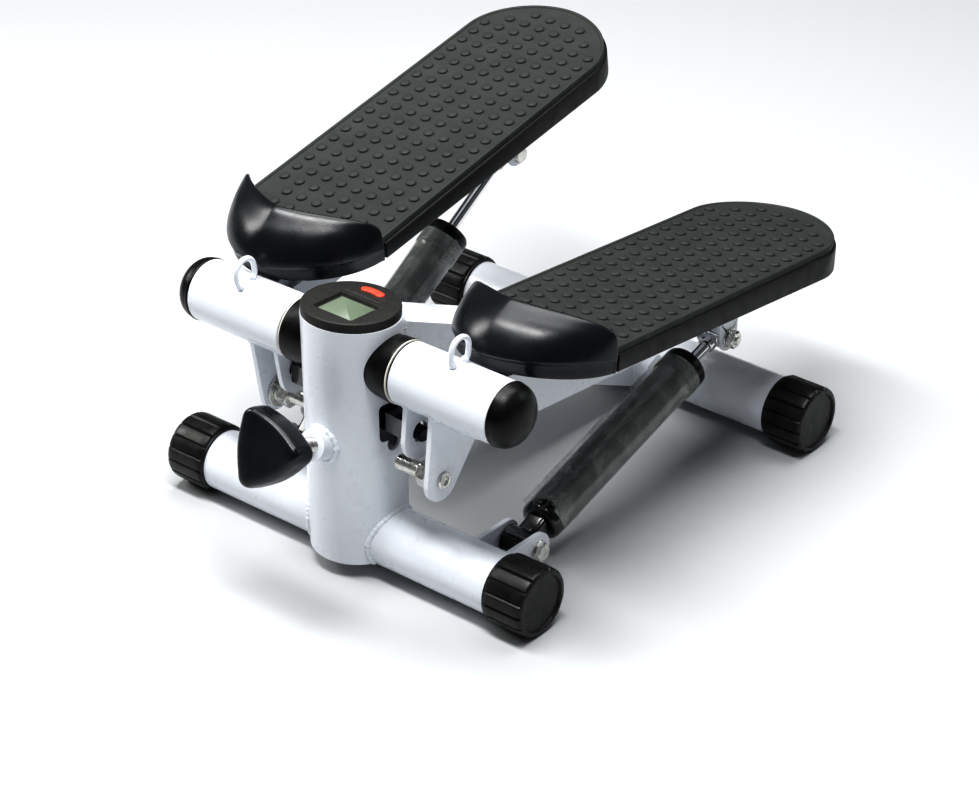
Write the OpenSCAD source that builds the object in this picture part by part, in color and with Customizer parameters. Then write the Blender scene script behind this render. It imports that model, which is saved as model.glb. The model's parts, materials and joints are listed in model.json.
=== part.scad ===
// Mini stepper: a round post on two cross tubes, with a pedal on each side that turns on an
// axle through the post. A rocker bar inside the post lifts one pedal as the other goes down,
// and a hydraulic cylinder under each pedal brakes it.

/* [Frame] */
// Diameter of the upright post
post_d = 76; // [74:0.5:78]
// Diameter of the two cross tubes on the floor
tube_d = 48.4; // [46:0.2:49]
// Distance between the two cross tubes
wheelbase = 333; // [330:1:345]
// Length of bare tube on each side of the front cross tube
front_half = 140; // [136:1:150]
// Length of bare tube on each side of the rear cross tube
rear_half = 154.5; // [145:0.5:165]
// Width of the sloping centre beam
beam_w = 54; // [48:1:56]

/* [Pivot] */
// Height of the pedal axle above the floor
pivot_z = 178; // [177:0.5:179]
// Diameter of the pedals' pivot tubes
pivot_d = 49; // [47:0.5:49]
// Diameter of the axle
axle_d = 20; // [18:0.5:20]

/* [Pedals] */
// Pitch of the right pedal as it stands, heel up is positive
right_pitch = -7.2; // [-9:0.1:-6]
// Pitch of the left pedal as it stands, heel up is positive
left_pitch = 8.9; // [8:0.1:10]
// Width of the tread near the heel
tread_w = 130.8; // [126:0.2:132]
// Distance from the axle to the heel end of the tread
tread_reach = 417.4; // [410:0.2:420]
// Height of the tread surface above the axle
tread_h = 26.1; // [25.5:0.1:27]
// Height of the toe guard above the tread
guard_h = 33; // [30:0.5:38]
// Diameter of the tread studs
stud_d = 8.4; // [6:0.2:10]

/* [Cylinders] */
// Outer diameter of the hydraulic barrels
barrel_d = 34; // [30:0.5:35]
// Diameter of the piston rods
rod_d = 9; // [8:0.5:10]
// Distance from the lower pin to the top of the gland cap
barrel_len = 220; // [210:1:222]

/* [Knob] */
// Distance from the middle of the knob to its corners
knob_r = 33.5; // [30:0.5:35]
// Thickness of the knob
knob_t = 22; // [18:1:24]

/* [Hidden] */
$fn = 64;

// Colours
paint = [0.90, 0.92, 0.95];
plastic = [0.07, 0.07, 0.08];
rubber = [0.12, 0.12, 0.13];
zinc = [0.75, 0.74, 0.70];

// The frame of the part: its origin is on the floor under the middle of the whole stepper
post_to_middle = 150.5;
eps = 0.01;
post_r = post_d / 2;
post_wall = 2.5;
post_bottom = 12.7;
top_z = 218;
top_tilt = 5.3;
housing_t = 7.6;
tube_r = tube_d / 2;
tube_z = 27.5;
tube_wall = 2.2;
cap_len = 37;
cap_r = 27.5;
cap_floor = 4;
cap_grip = 30;
groove_n = 16;
foot_w = 12;

// Centre beam: its top and bottom lines fall by half a millimetre for each millimetre rearwards
beam_fall = 0.5;
beam_top0 = 213.45;
beam_low0 = 164;
beam_wall = 2.8;

// Axle and pivot tubes
axle_r = axle_d / 2;
pivot_r = pivot_d / 2;
pivot_wall = 3;
pivot_in = 54;
pivot_out = 145;
bush_len = 18;
run_fit = 0.05;
axle_end = 153;
dome_h = 18.5;
saddle_h = 40;

// Pedals
tread_roll = 1.95;
tread_yaw = 0.63;
pedal_u = 108;
half_rear = tread_w / 2;
half_front = half_rear + 1.3;
heel_round = 60;
heel_exp = 1.88;
base_top = 22;
tread_front = 92;
skin = 3;
guard_mid = 91;
guard_a = 68;
guard_b = 77;
guard_exp = 1.85;
crest_a = 66.8;
crest_b = 40.5;
crest_v = 89;
arm_u = 108;
arm_w = 26;
arm_top = 7;
arm_low = -33;
arm_end = 320;

// Brackets
plate_t = 4;
big_x = 90;
small_x = 66;
bolt_drop = 73;
rocker_drop = 42;
rocker_z = pivot_z - rocker_drop;

// Hydraulic cylinders
cyl_x = 111.5;
low_y = 56;
low_z = 24.3;
up_v = 312.7;
up_w = -46.5;
bolt_r = 4;
rod_len = 125;
loose = 1.75;

// Rocker
bar_len = 124;
bar_w = 14;
bar_h = 16;
rocker_rest = -5.09;

// Knob
knob_tilt = 22.4;
knob_z = 115;
shank_r = 6;
knob_back = 48.8;
knob_corner = 9.4;
knob_bulge = 2.9;
knob_clock = 11;

// ---------------------------------------------------------------- placing

module at_post() {
    translate([0, -post_to_middle, 0]) children();
}

// side is 1 on the right and -1 on the left
module on_side(side) {
    at_post() mirror([side < 0 ? 1 : 0, 0, 0]) children();
}

function pitch(side) = side > 0 ? right_pitch : left_pitch;

// x across, y from the axle to the heel, z up from the pedal
module on_pedal(side) {
    on_side(side) translate([0, 0, pivot_z]) rotate([pitch(side), 0, 0]) children();
}

// The tread is canted a little, with its outer edge higher
module on_tread(side) {
    on_pedal(side) rotate([0, -tread_roll, 0]) rotate([0, 0, -tread_yaw]) children();
}

// z runs along the cylinder from its lower pin to its upper pin
function pin_y(side) = up_v * cos(pitch(side)) - up_w * sin(pitch(side)) - low_y;
function pin_z(side) = pivot_z + up_v * sin(pitch(side)) + up_w * cos(pitch(side)) - low_z;
function pin_gap(side) = norm([pin_y(side), pin_z(side)]);

module on_cylinder(side) {
    lean = atan2(pin_z(side), pin_y(side));
    on_side(side) translate([cyl_x, low_y, low_z]) rotate([lean - 90, 0, 0]) children();
}

// x and y on the face of the display, z out of it
module on_display() {
    at_post() translate([0, 0, top_z]) rotate([-top_tilt, 0, 0]) children();
}

// z out of the post along the knob's screw
module on_knob() {
    at_post() translate([0, -post_r, knob_z]) rotate([90 - knob_tilt, 0, 0]) children();
}

module on_rocker() {
    at_post() translate([0, 0, rocker_z]) rotate([0, 0, rocker_rest]) children();
}

// A rod of radius r along x, from x0 to x1
module rod_x(r, x0, x1) {
    translate([x0, 0, 0]) rotate([0, 90, 0]) cylinder(r = r, h = x1 - x0);
}

// A hexagon of width af across its flats, along x from x0 to x1
module hex_x(af, x0, x1) {
    translate([x0, 0, 0]) rotate([0, 90, 0]) cylinder(r = af / sqrt(3), h = x1 - x0, $fn = 6);
}

// A plate drawn in the yz plane, from x0 to x0 + t
module plate_yz(x0, t) {
    translate([x0, 0, 0]) rotate([90, 0, 90]) linear_extrude(t) children();
}

// ---------------------------------------------------------------- frame

// A window for the rocker bar, with round corners and a round notch at its foot
module slot_shape() {
    half_w = 13.4;
    low = 117;
    high = 148.6;
    corner = 4;
    centres = [[half_w - corner, high - corner], [corner - half_w, high - corner],
        [corner - half_w, low + corner], [half_w - corner, low + corner]];
    polygon([for (k = [0:3], i = [0:6])
        centres[k] + corner * [cos(90 * k + 15 * i), sin(90 * k + 15 * i)]]);
    translate([0, low - 4]) circle(7);
}

module post() {
    at_post() color(paint) difference() {
        translate([0, 0, post_bottom]) cylinder(r = post_r, h = top_z);
        cylinder(r = post_r - post_wall, h = top_z + 20);
        translate([0, 0, top_z]) rotate([-top_tilt, 0, 0]) translate([-50, -50, -housing_t])
            cube([100, 100, 60]);
        translate([0, 0, tube_z]) rod_x(tube_r, -50, 50);
        translate([0, 0, pivot_z]) rod_x(axle_r, -50, 50);
        plate_yz(-50, 100) slot_shape();
        translate([0, -post_r, knob_z]) rotate([90 - knob_tilt, 0, 0])
            translate([0, 0, -12]) cylinder(r = shank_r + 0.4, h = 24);
    }
}

module cross_tube(half) {
    difference() {
        rod_x(tube_r, -half - cap_grip, half + cap_grip);
        rod_x(tube_r - tube_wall, -half - cap_grip - 1, half + cap_grip + 1);
    }
}

module front_cross_tube() {
    at_post() translate([0, 0, tube_z]) color(paint) cross_tube(front_half);
}

module rear_cross_tube() {
    at_post() translate([0, wheelbase, tube_z]) color(paint) cross_tube(rear_half);
}

// The sloping outline of the beam, drawn in the yz plane, inset by t from its top and bottom
module beam_outline(t) {
    rear_top = wheelbase - 6;
    rear_low = wheelbase - 17;
    polygon([[0, beam_top0 - t], [rear_top, beam_top0 - t - beam_fall * rear_top],
        [rear_low, beam_low0 + t - beam_fall * rear_low], [0, beam_low0 + t]]);
}

module centre_beam() {
    at_post() color(paint) difference() {
        plate_yz(-beam_w / 2, beam_w) beam_outline(0);
        plate_yz(-beam_w / 2 + beam_wall, beam_w - 2 * beam_wall) beam_outline(beam_wall);
        cylinder(r = post_r, h = 300);
        translate([0, wheelbase, tube_z]) rod_x(tube_r, -60, 60);
    }
}

// Welded ears behind the front cross tube, which hold the lower pins of the cylinders
module ear_shape() {
    end_r = 14;
    translate([low_y, low_z]) circle(end_r);
    polygon([[10, 40], [low_y, low_z + end_r], [low_y, low_z - end_r], [10, low_z - end_r]]);
}

module cylinder_ears() {
    at_post() color(paint) difference() {
        for (side = [-1, 1], x = [-15, 15]) {
            plate_yz(side * cyl_x + x - plate_t / 2, plate_t) ear_shape();
        }
        translate([0, 0, tube_z]) rod_x(tube_r, -140, 140);
        translate([0, low_y, low_z]) rod_x(bolt_r, -140, 140);
    }
}

// A ribbed cup over the end of a cross tube, which rests on the flat foot under it
module end_cap() {
    difference() {
        union() {
            difference() {
                rod_x(cap_r, 0, cap_len);
                for (i = [0:groove_n - 1]) {
                    rotate([360 / groove_n * (i + 0.5), 0, 0])
                        translate([-1, -0.9, cap_r - 1.2]) cube([cap_len + 2, 1.8, 4]);
                }
            }
            translate([3, -foot_w / 2, -tube_z]) cube([cap_len - 6, foot_w, 6]);
        }
        rod_x(tube_r, -1, cap_len - cap_floor);
        rod_x(tube_r - 2, cap_len - 1.5, cap_len + 1);
    }
}

module cap_at(side, y, x) {
    on_side(side) translate([x, y, tube_z]) color(plastic) end_cap();
}

module cap_front_right() { cap_at(1, 0, front_half); }
module cap_front_left() { cap_at(-1, 0, front_half); }
module cap_rear_right() { cap_at(1, wheelbase, rear_half); }
module cap_rear_left() { cap_at(-1, wheelbase, rear_half); }

module knob_boss() {
    color(paint) difference() {
        on_knob() translate([0, 0, -8]) cylinder(r = 12, h = 20);
        on_knob() translate([0, 0, -30]) cylinder(r = shank_r, h = 60);
        at_post() cylinder(r = post_r, h = 300);
    }
}

module pivot_axle() {
    at_post() translate([0, 0, pivot_z]) color(zinc) rod_x(axle_r, -axle_end, axle_end);
}

module axle_nuts() {
    for (side = [-1, 1]) {
        on_side(side) translate([0, 0, pivot_z]) color(zinc) difference() {
            union() {
                rod_x(16, pivot_out - 3, pivot_out - 1);
                hex_x(28, pivot_out - 1, axle_end - 1);
            }
            rod_x(axle_r, 100, 200);
        }
    }
}

// Quarter of an ellipse from the rim (radius r) to the crown (height h), with n steps
function dome(r, h, n) = [for (i = [0:n]) [r * cos(90 * i / n), h * sin(90 * i / n)]];

// A domed cap with its open side at z = 0 and its crown at z = h
module dome_cap(r, h) {
    rotate_extrude() polygon(concat([[0, 0]], dome(r, h, 16)));
}

// A fuller dome than an ellipse, from the rim (radius r) to the crown (height h)
function full_dome(r, h) = [for (i = [0:16])
    [r * pow(cos(90 * i / 16), 0.83), h * pow(sin(90 * i / 16), 0.83)]];

// Domed saddles which fit round the post, each with a narrow neck under its rim
module saddle_domes() {
    rim_x = pivot_in - 2.6;
    for (side = [-1, 1]) {
        on_side(side) translate([0, 0, pivot_z]) color(plastic) difference() {
            union() {
                translate([rim_x, 0, 0]) rotate([0, -90, 0]) rotate_extrude()
                    polygon(concat([[0, 0]], full_dome(pivot_r + 0.7, saddle_h)));
                rod_x(pivot_r - 1.2, rim_x, pivot_in - 0.3);
            }
            rod_x(axle_r, 0, 100);
            translate([0, 0, -50]) cylinder(r = post_r, h = 100);
        }
    }
}

module seal_rings() {
    ring_x = pivot_in - 2.6;
    for (side = [-1, 1]) {
        on_side(side) translate([0, 0, pivot_z]) color("white") difference() {
            rod_x(pivot_r + 0.4, ring_x, ring_x + 0.9);
            rod_x(pivot_r - 1.2, ring_x - 1, ring_x + 3);
        }
    }
}

module lower_bolts() {
    ear_out = 15 + plate_t / 2;
    for (side = [-1, 1]) {
        on_side(side) translate([cyl_x, low_y, low_z]) color(zinc) {
            rod_x(bolt_r, -ear_out - 8, ear_out);
            hex_x(13, ear_out, ear_out + 6);
            hex_x(13, -ear_out - 7, -ear_out);
        }
    }
}

// A disc across the inside of the post, which carries the rocker's upright pin
module rocker_seat() {
    at_post() translate([0, 0, 98]) color(paint) difference() {
        cylinder(r = post_r - post_wall, h = 6);
        translate([0, 0, -1]) cylinder(r = 8, h = 8);
        translate([0, -post_r, knob_z - 98]) rotate([90 - knob_tilt, 0, 0])
            translate([0, 0, -30]) cylinder(r = shank_r + 1, h = 40);
    }
}

module rocker_pin() {
    at_post() translate([0, 0, 95]) color(zinc) {
        cylinder(r = 8, h = 66);
        translate([0, 0, -4]) cylinder(r = 13, h = 7);
    }
}

// ---------------------------------------------------------------- display

button_r = 25;
button_w = 6.6;
button_span = 34;

// A point at angle a from the display's top, at distance r from its middle
function around(r, a) = [r * sin(a), r * cos(a)];

// A bar of width w bent along an arc, with round ends
module bent_bar(w, h) {
    half = button_span / 2;
    r = w / 2;
    linear_extrude(h) polygon(concat(
        [for (i = [-6:6]) around(button_r + r, half * i / 6)],
        [for (i = [1:7]) around(button_r, half) + around(r, half + 22.5 * i)],
        [for (i = [-6:6]) around(button_r - r, -half * i / 6)],
        [for (i = [1:7]) around(button_r, -half) + around(r, 180 - half + 22.5 * i)]));
}

module display_housing() {
    on_display() color(rubber) {
        difference() {
            union() {
                translate([0, 0, -housing_t]) cylinder(r = post_r - 0.7, h = housing_t);
                translate([0, 0, -housing_t - 9]) cylinder(r = post_r - post_wall - 2, h = 10);
            }
            translate([-17.5, -23.5, -2.5]) cube([38, 33, 5]);
            translate([-15.5, -21.5, -4]) cube([34, 29, 5]);
            translate([0, 0, -6]) bent_bar(button_w + 0.5, 10);
        }
        translate([0, -11, -eps]) linear_extrude(0.8)
            polygon([for (i = [-8:8]) around(29, 38 * i / 8)]);
    }
}

module display_window() {
    on_display() translate([-15.5, -21.5, -4]) color([0.55, 0.62, 0.52]) cube([34, 29, 1.5]);
}

module reset_button() {
    on_display() translate([0, 0, -4]) color([0.85, 0.20, 0.12]) bent_bar(button_w, 5);
}

// ---------------------------------------------------------------- rocker

module rocker_bar() {
    on_rocker() color(plastic) difference() {
        union() {
            translate([-bar_len / 2, -bar_w / 2, -bar_h / 2]) cube([bar_len, bar_w, bar_h]);
            translate([0, 0, -bar_h / 2]) cylinder(r = 14, h = bar_h);
            rod_x(5, -74, 74);
        }
        translate([0, 0, -bar_h]) cylinder(r = 8 + run_fit, h = 2 * bar_h);
    }
}

module rocker_bushes() {
    for (side = [-1, 1]) {
        on_rocker() color(rubber) mirror([side < 0 ? 1 : 0, 0, 0]) difference() {
            rod_x(6, bar_len / 2, 73);
            rod_x(5, 0, 100);
        }
    }
}

// ---------------------------------------------------------------- knob

// The middle of the round part of the knob's corner k
function knob_mid(k) = (knob_r - knob_corner)
    * [cos(120 * k + knob_clock), sin(120 * k + knob_clock)];
function knob_turn(k, b, t) = knob_mid(k)
    + (knob_corner - t) * [cos(120 * k + knob_clock + b), sin(120 * k + knob_clock + b)];

// A triangle with round corners and bulging sides, inset by t
module knob_outline(t) {
    polygon([for (k = [0:2], i = [0:15]) i < 9
        ? knob_turn(k, 14 * i - 56, t)
        : let (s = (i - 8) / 8, a = 120 * k + knob_clock + 60)
            (1 - s) * knob_turn(k, 56, t) + s * knob_turn(k + 1, -56, t)
                + knob_bulge * sin(180 * s) * [cos(a), sin(a)]]);
}

module knob_head() {
    step = 1.5;
    on_knob() translate([0, 0, knob_back]) color(plastic) difference() {
        union() {
            linear_extrude(step) knob_outline(step);
            translate([0, 0, step]) linear_extrude(knob_t - 2 * step) knob_outline(0);
            translate([0, 0, knob_t - step]) linear_extrude(step) knob_outline(step);
        }
        translate([0, 0, -1]) cylinder(r = shank_r - run_fit, h = knob_t - 7);
    }
}

module knob_shank() {
    on_knob() translate([0, 0, -9]) color(zinc)
        cylinder(r = shank_r - run_fit, h = knob_back + knob_t + 1);
}

// ---------------------------------------------------------------- pedals

module pivot_tube(side) {
    on_pedal(side) color(paint) difference() {
        rod_x(pivot_r, pivot_in, pivot_out);
        rod_x(pivot_r - pivot_wall, pivot_in - 1, pivot_out + 1);
    }
}

module axle_bushes(side) {
    for (x = [pivot_in + 1, pivot_out - 4 - bush_len]) {
        on_pedal(side) color(plastic) difference() {
            rod_x(pivot_r - pivot_wall, x, x + bush_len);
            rod_x(axle_r + run_fit, x - 1, x + bush_len + 1);
        }
    }
}

module tube_cap(side) {
    on_pedal(side) translate([pivot_out, 0, 0]) rotate([0, 90, 0]) color(plastic) difference() {
        dome_cap(pivot_r + 0.5, dome_h);
        translate([0, 0, -eps]) dome_cap(pivot_r - 3, dome_h - 3);
    }
}

// A long wire ring welded on top of the pivot tube
module band_eye(side) {
    wire = 4.5;
    bend_r = 9.75;
    leg = 4;
    on_pedal(side) color(paint) difference() {
        translate([100, -1, 35]) for (low = [0, 1]) {
            translate([0, 0, -leg * low]) rotate([0, 90, 0]) rotate([0, 0, 90 + 180 * low])
                rotate_extrude(angle = 180) translate([bend_r, 0]) circle(d = wire, $fn = 24);
            translate([0, bend_r * (2 * low - 1), -leg]) cylinder(d = wire, h = leg, $fn = 24);
        }
        rod_x(pivot_r, 50, 150);
    }
}

module arm(side) {
    wall = 2.2;
    color(paint) difference() {
        on_tread(side) translate([arm_u - arm_w / 2, 0, arm_low])
            cube([arm_w, arm_end, arm_top - arm_low]);
        on_tread(side) translate([arm_u - arm_w / 2 + wall, -1, arm_low + wall])
            cube([arm_w - 2 * wall, arm_end - 3, arm_top - arm_low - 2 * wall]);
        on_pedal(side) rod_x(pivot_r, 50, 200);
    }
}

// The long plate carries the bracket bolt, and the short one takes the end of the rocker
module bracket(side) {
    front = -17;
    on_pedal(side) color(paint) difference() {
        union() {
            plate_yz(big_x - plate_t / 2, plate_t) {
                translate([0, -bolt_drop]) circle(-front);
                polygon([[front, 2], [front, -bolt_drop], [0, -bolt_drop - 10],
                    [14.5, -bolt_drop - 9], [34.6, -51], [60, -5], [60, 2]]);
            }
            plate_yz(small_x - plate_t / 2, plate_t) {
                translate([3, -rocker_drop - 3]) circle(20);
                polygon([[front, 0], [front, -rocker_drop - 3], [23, -rocker_drop - 3],
                    [25, -15], [25, 0]]);
            }
        }
        rod_x(pivot_r, 50, 120);
        translate([0, 0, -rocker_drop]) rod_x(8, small_x - plate_t, small_x + plate_t);
        translate([0, 0, -bolt_drop]) rod_x(6, big_x - plate_t, big_x + plate_t);
    }
}

// Bolt with its head outside, two washers, a nut and a long threaded end towards the post
module bracket_bolt(side) {
    inner = big_x - plate_t / 2;
    outer = big_x + plate_t / 2;
    on_pedal(side) translate([0, 0, -bolt_drop]) color(zinc) {
        rod_x(6, 50, outer);
        hex_x(17, outer, outer + 3);
        rod_x(13.5, inner - 3, inner);
        rod_x(9.5, inner - 8, inner - 3);
        hex_x(19, inner - 18, inner - 8);
    }
}

module upper_ears(side) {
    end_r = 11;
    ear_t = 3;
    top = -26;
    color(paint) difference() {
        on_pedal(side) for (x = [cyl_x - 9 - ear_t, cyl_x + 9]) {
            plate_yz(x, ear_t) {
                translate([up_v, up_w]) circle(end_r);
                polygon([[up_v - 17, top], [up_v - end_r, up_w], [up_v + end_r, up_w],
                    [up_v + 10, top]]);
            }
        }
        on_pedal(side) translate([0, up_v, up_w]) rod_x(bolt_r, 80, 140);
        on_tread(side) translate([0, up_v - 50, arm_low]) cube([200, 100, 30]);
    }
}

module upper_bolt(side) {
    ear_out = 12;
    on_pedal(side) translate([cyl_x, up_v, up_w]) color(zinc) {
        rod_x(bolt_r, -ear_out, ear_out + 9);
        hex_x(13, ear_out, ear_out + 6.5);
        hex_x(13, -ear_out - 5.5, -ear_out);
    }
}

// Round heel end of the tread, inset by t, as points from the right side to the left
function heel(t) = [for (i = [0:40]) let (a = 4.5 * i, p = 2 / heel_exp)
    [pedal_u + (half_rear - t) * sign(cos(a)) * pow(abs(cos(a)), p),
     tread_reach - heel_round + (heel_round - t) * pow(sin(a), p)]];

// Outer edge of the toe guard in the direction a, inset by t
function guard_reach(a) = pow(pow(abs(cos(a)) / guard_a, guard_exp)
    + pow(abs(sin(a)) / guard_b, guard_exp), -1 / guard_exp);
function guard_edge(a, t) = [pedal_u + (guard_reach(a) - t) * cos(a),
    guard_mid - (guard_reach(a) - t) * sin(a)];

// Crest line of the toe guard, seen from above, inset by t; a runs from 0 to 180
function crest(a, t) = [pedal_u + (crest_a - t) * sign(cos(a)) * pow(abs(cos(a)), 1.5),
    crest_v - (crest_b - t) * pow(sin(a), 1.5)];
function crest_h(a) = tread_h + guard_h * pow(sin(a), 0.5);

// Plan of the pedal base: the heel part at full width, the toe part inside the guard
module base_plan(t) {
    polygon(concat([[pedal_u - half_front + t, tread_front + t],
        [pedal_u + half_front - t, tread_front + t]], heel(t)));
    polygon([for (i = [0:30]) guard_edge(6 * i, 5.8 + t)]);
    translate([pedal_u - guard_a + 6 + t, guard_mid - 1]) square([2 * (guard_a - 6 - t), 8]);
}

module pedal_base(side) {
    low_front = 17.5;
    low_guard = 8.4;
    low_heel = 0.9;
    on_tread(side) color(plastic) {
        difference() {
            intersection() {
                linear_extrude(base_top) base_plan(0);
                plate_yz(0, 200) polygon([[0, base_top], [0, low_front], [83, low_guard],
                    [430, low_heel], [430, base_top]]);
            }
            translate([0, 0, -1]) linear_extrude(base_top - skin + 1) base_plan(skin);
        }
        for (u = [-8, 5]) {
            translate([pedal_u + u, 60, arm_top]) cube([3, 250, base_top - skin - arm_top]);
        }
    }
}

// One section of the toe guard from the crest over the outside and back up the inner wall
function guard_section(a) = let (
        c = crest(a, 0),
        f = atan2(guard_mid - c[1], c[0] - pedal_u),
        o = guard_edge(f, 0),
        top = crest_h(a),
        edge = base_top - 3 + 7.9 * sin(a),
        low = 8.4 + 7 * pow(sin(a), 3),
        e = 1.32,
        slim = guard_edge(f, 2.5),
        back = guard_edge(f, 5.5),
        wall = crest(a, 3))
    concat(
        [for (i = [0:8]) let (k = 90 * i / 8, q = c + (o - c) * pow(sin(k), e))
            [q[0], q[1], edge + (top - edge) * pow(cos(k), e)]],
        [[slim[0], slim[1], edge - 1.5], [slim[0], slim[1], low], [back[0], back[1], low],
         [back[0], back[1], base_top], [wall[0], wall[1], base_top],
         [wall[0], wall[1], max(top - 2, base_top + 1)]]);

guard_ring = len(guard_section(90));

module toe_guard(side) {
    first = 2;
    steps = 44;
    rings = [for (j = [0:steps]) guard_section(first + (180 - 2 * first) * j / steps)];
    points = [for (r = rings) for (p = r) p];
    sides = [for (j = [0:steps - 1], i = [0:guard_ring - 1])
        let (n = (i + 1) % guard_ring)
        [j * guard_ring + i, j * guard_ring + n, (j + 1) * guard_ring + n,
         (j + 1) * guard_ring + i]];
    start = [[for (i = [0:guard_ring - 1]) guard_ring - 1 - i]];
    finish = [[for (i = [0:guard_ring - 1]) steps * guard_ring + i]];
    on_tread(side) color(plastic) polyhedron(points, concat(start, sides, finish));
}

// Plan of the tread mat, inset by t
module tread_plan(t) {
    polygon(concat([for (i = [0:30]) crest(180 - 6 * i, 3.2 + t)],
        [[pedal_u + half_front - 2 - t, tread_front]], heel(2 + t),
        [[pedal_u - half_front + 2 + t, tread_front]]));
}

module tread(side) {
    pitch_x = 15.1;
    pitch_y = 14.8;
    first_y = 113.4;
    border = 3.2;
    raise = 1;
    on_tread(side) color(rubber) {
        translate([0, 0, base_top]) linear_extrude(tread_h - base_top) tread_plan(0);
        translate([0, 0, tread_h - eps]) linear_extrude(raise) difference() {
            tread_plan(0);
            tread_plan(border);
        }
        // The first and last rows are shorter, because the mat is round there
        for (j = [-3:19]) {
            half_row = j == 19 || j == -3 ? 1.5 : j == 18 || j < 0 ? 2.5 : 3.5;
            for (i = [-half_row:half_row]) {
                translate([pedal_u + pitch_x * i, first_y + pitch_y * j, tread_h - eps])
                    cylinder(d1 = stud_d, d2 = stud_d - 3, h = 1.7, $fn = 16);
            }
        }
    }
}

module right_pivot_tube() { pivot_tube(1); }
module right_axle_bushes() { axle_bushes(1); }
module right_tube_cap() { tube_cap(1); }
module right_band_eye() { band_eye(1); }
module right_arm() { arm(1); }
module right_bracket() { bracket(1); }
module right_bracket_bolt() { bracket_bolt(1); }
module right_upper_ears() { upper_ears(1); }
module right_upper_bolt() { upper_bolt(1); }
module right_pedal_base() { pedal_base(1); }
module right_toe_guard() { toe_guard(1); }
module right_tread() { tread(1); }
module left_pivot_tube() { pivot_tube(-1); }
module left_axle_bushes() { axle_bushes(-1); }
module left_tube_cap() { tube_cap(-1); }
module left_band_eye() { band_eye(-1); }
module left_arm() { arm(-1); }
module left_bracket() { bracket(-1); }
module left_bracket_bolt() { bracket_bolt(-1); }
module left_upper_ears() { upper_ears(-1); }
module left_upper_bolt() { upper_bolt(-1); }
module left_pedal_base() { pedal_base(-1); }
module left_toe_guard() { toe_guard(-1); }
module left_tread() { tread(-1); }

// ---------------------------------------------------------------- hydraulic cylinders

module barrel(side) {
    foot = 22.8;
    eye_w = 25;
    on_cylinder(side) color(plastic) difference() {
        union() {
            translate([0, 0, foot]) cylinder(d = barrel_d, h = barrel_len - foot - 12);
            rod_x(11, -eye_w / 2, eye_w / 2);
            translate([-9, -7, 0]) cube([18, 14, foot + 2]);
        }
        translate([0, 0, foot + 8]) cylinder(d = barrel_d - 7, h = barrel_len);
        rod_x(bolt_r + run_fit, -20, 20);
    }
}

module gland_cap(side) {
    cap_h = 24;
    plug_h = 12;
    on_cylinder(side) translate([0, 0, barrel_len - cap_h]) color(plastic) difference() {
        cylinder(d = barrel_d + 2.6, h = cap_h);
        translate([0, 0, -1]) cylinder(d = barrel_d, h = cap_h - plug_h + 1);
        cylinder(d = rod_d + 2 * run_fit, h = cap_h + 1);
    }
}

module rod(side) {
    eye_w = 15;
    gap = pin_gap(side);
    on_cylinder(side) color([0.8, 0.8, 0.82]) difference() {
        union() {
            translate([0, 0, gap - rod_len]) cylinder(d = rod_d, h = rod_len);
            translate([0, 0, gap - rod_len]) cylinder(d = barrel_d - 7 - 4 * run_fit, h = 12);
            translate([0, 0, gap]) rod_x(10, -eye_w / 2, eye_w / 2);
        }
        translate([0, 0, gap]) rod_x(bolt_r + loose, -20, 20);
    }
}

module right_barrel() { barrel(1); }
module right_gland_cap() { gland_cap(1); }
module right_rod() { rod(1); }
module left_barrel() { barrel(-1); }
module left_gland_cap() { gland_cap(-1); }
module left_rod() { rod(-1); }

// ---------------------------------------------------------------- drawing

post();
front_cross_tube();
rear_cross_tube();
centre_beam();
cylinder_ears();
cap_front_right();
cap_front_left();
cap_rear_right();
cap_rear_left();
knob_boss();
pivot_axle();
axle_nuts();
saddle_domes();
seal_rings();
lower_bolts();
rocker_seat();
rocker_pin();
display_housing();
display_window();
reset_button();
rocker_bar();
rocker_bushes();
knob_head();
knob_shank();
right_pivot_tube();
right_axle_bushes();
right_tube_cap();
right_band_eye();
right_arm();
right_bracket();
right_bracket_bolt();
right_upper_ears();
right_upper_bolt();
right_pedal_base();
right_toe_guard();
right_tread();
left_pivot_tube();
left_axle_bushes();
left_tube_cap();
left_band_eye();
left_arm();
left_bracket();
left_bracket_bolt();
left_upper_ears();
left_upper_bolt();
left_pedal_base();
left_toe_guard();
left_tread();
right_barrel();
right_gland_cap();
right_rod();
left_barrel();
left_gland_cap();
left_rod();
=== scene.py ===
import bpy
import bmesh
import json
import math
import random
from mathutils import Matrix, Vector, noise


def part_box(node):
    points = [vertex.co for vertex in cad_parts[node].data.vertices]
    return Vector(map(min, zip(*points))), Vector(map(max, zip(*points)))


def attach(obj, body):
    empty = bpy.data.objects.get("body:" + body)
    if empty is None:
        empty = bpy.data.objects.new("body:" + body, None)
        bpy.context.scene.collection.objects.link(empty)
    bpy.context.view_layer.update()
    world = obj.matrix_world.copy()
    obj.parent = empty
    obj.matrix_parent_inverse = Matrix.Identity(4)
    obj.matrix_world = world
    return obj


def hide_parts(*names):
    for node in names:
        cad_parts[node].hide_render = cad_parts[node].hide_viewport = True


# A mini stepper. Plain CAD parts stay where they are and get rounded edges and finishes.
# Moulded, cast and threaded parts are rebuilt here as finer meshes in the same places.

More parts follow.
